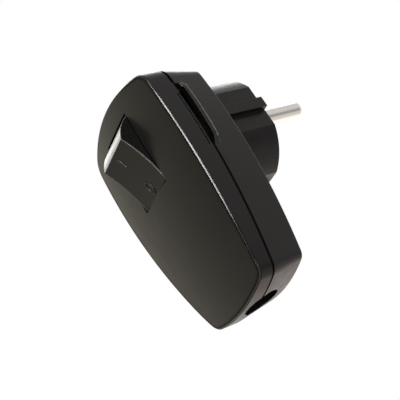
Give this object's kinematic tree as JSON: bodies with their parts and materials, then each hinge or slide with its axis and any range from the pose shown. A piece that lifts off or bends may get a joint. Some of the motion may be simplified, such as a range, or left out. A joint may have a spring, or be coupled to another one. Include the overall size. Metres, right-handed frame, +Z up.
{
  "type": "switched mains plug",
  "caption": "Angled earthed mains plug with a tapered two-shell casing, two round pins, side ribs and a rocker switch in its domed front.",
  "frame": {"origin": "centre of the plug's face, midway between the two pins", "axes": "+Y along the pins, towards the wall; +Z up to the broad end with the rocker; +X to the right seen from the front; the cord outlet is at the -Z end"},
  "size_m": [0.0482, 0.0652, 0.0746],
  "materials": {
    "casing": "satin black moulded plastic",
    "rocker": "satin black moulded plastic",
    "carrier": "matt black insulating plastic",
    "clamp": "matt moulded plastic",
    "pins": "nickel plate on solid brass",
    "earth": "nickel-plated strip",
    "contacts": "stamped brass",
    "springs": "drawn wire",
    "screws": "zinc-plated steel"
  },
  "bodies": {
    "casing": {"rear_housing": "casing", "front_cover": "casing", "switch_carrier": "carrier", "pin_left": "pins", "pin_right": "pins", "pole_terminal_left": "contacts", "pole_terminal_right": "contacts", "load_terminal_left": "contacts", "load_terminal_right": "contacts", "earth_bracket": "earth", "earth_sleeve": "earth", "cord_clamp": "clamp", "pin_screws": "screws", "load_screws": "screws", "earth_screw": "screws", "clamp_screws": "screws", "case_screws": "screws"},
    "rocker": {"rocker": "rocker", "follower_left": "carrier", "follower_right": "carrier", "spring_left": "springs", "spring_right": "springs"},
    "contact_bar_left": {"contact_bar_left": "contacts"},
    "contact_bar_right": {"contact_bar_right": "contacts"}
  },
  "joints": [
    {"name": "rocker_hinge", "type": "hinge", "parent": "casing", "child": "rocker", "pos_m": [0, -0.0324, 0.00096], "axis": [-1, 0, 0], "range_deg": [0, 41.5]},
    {"name": "contact_bar_left_hinge", "type": "hinge", "parent": "casing", "child": "contact_bar_left", "pos_m": [0, -0.0238, 0.00096], "axis": [1, 0, 0], "range_deg": [0, 16]},
    {"name": "contact_bar_right_hinge", "type": "hinge", "parent": "casing", "child": "contact_bar_right", "pos_m": [0, -0.0238, 0.00096], "axis": [1, 0, 0], "range_deg": [0, 16]}
  ],
  "couplings": [
    {"joint": "contact_bar_left_hinge", "follows": "rocker_hinge", "ratio": 0.3855},
    {"joint": "contact_bar_right_hinge", "follows": "rocker_hinge", "ratio": 0.3855}
  ]
}
